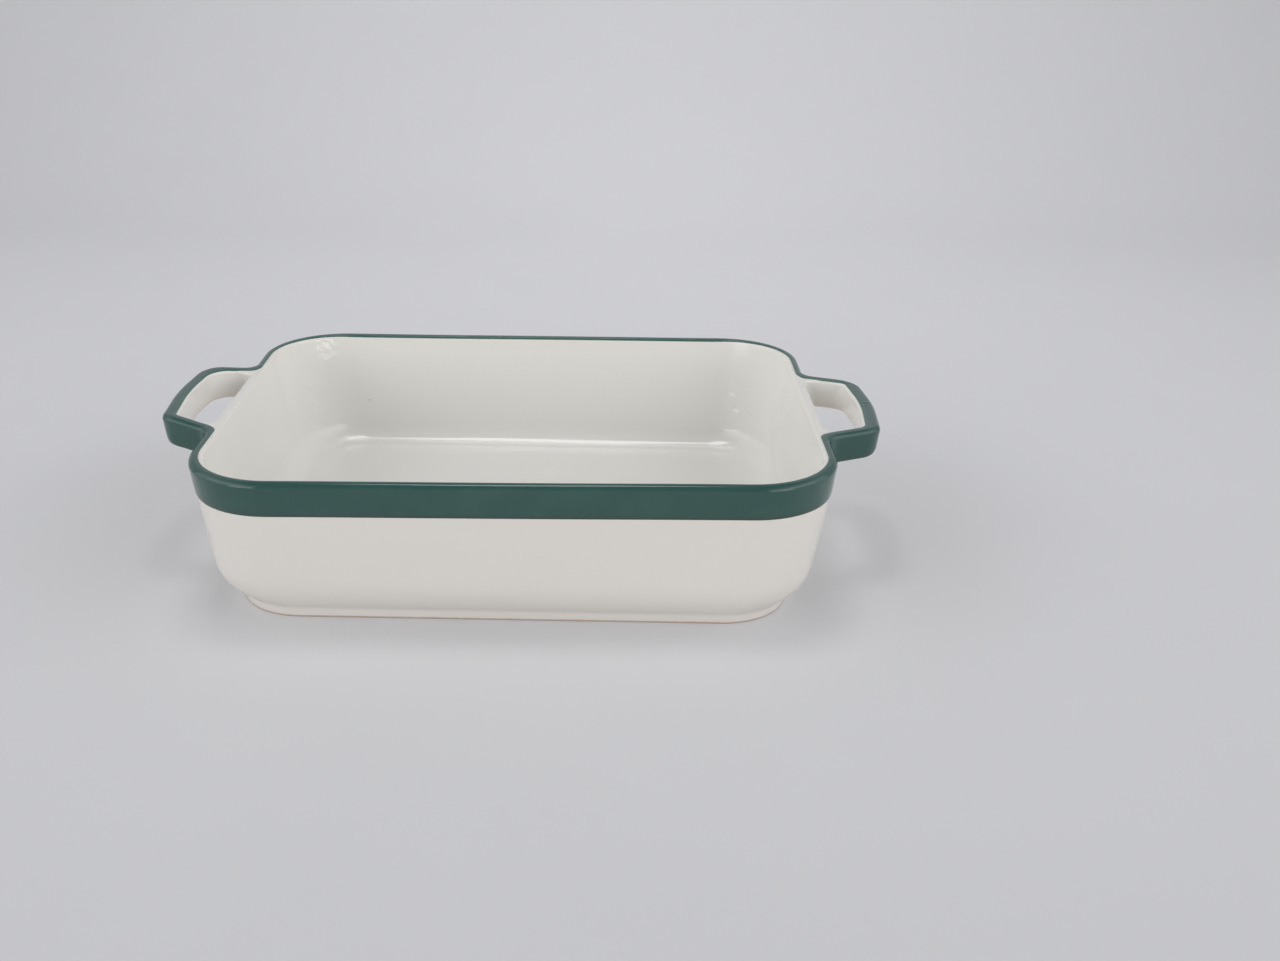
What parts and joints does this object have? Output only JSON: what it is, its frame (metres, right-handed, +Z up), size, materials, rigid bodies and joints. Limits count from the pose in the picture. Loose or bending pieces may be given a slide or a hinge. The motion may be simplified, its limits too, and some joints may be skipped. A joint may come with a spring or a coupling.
{
  "type": "roasting pan",
  "caption": "Rectangular glazed stoneware oven dish with leaning walls, rounded corners, a low foot ring and a dark green rim that runs out into a loop handle at each short end.",
  "frame": {"origin": "middle of the dish, in the plane of the table under its foot ring", "axes": "+X along the dish's length towards one handle, +Y across its width, +Z up"},
  "size_m": [0.3386, 0.221, 0.0712],
  "materials": {
    "biscuit": "bare fired stoneware, matt",
    "white_glaze": "glossy cream-white glaze",
    "green_glaze": "glossy dark green glaze"
  },
  "bodies": {
    "root": {"basin": "biscuit", "foot_ring": "biscuit", "handle_right": "white_glaze", "handle_left": "white_glaze", "inside_glaze": "white_glaze", "outside_glaze": "white_glaze", "rim_glaze": "green_glaze"}
  },
  "joints": []
}
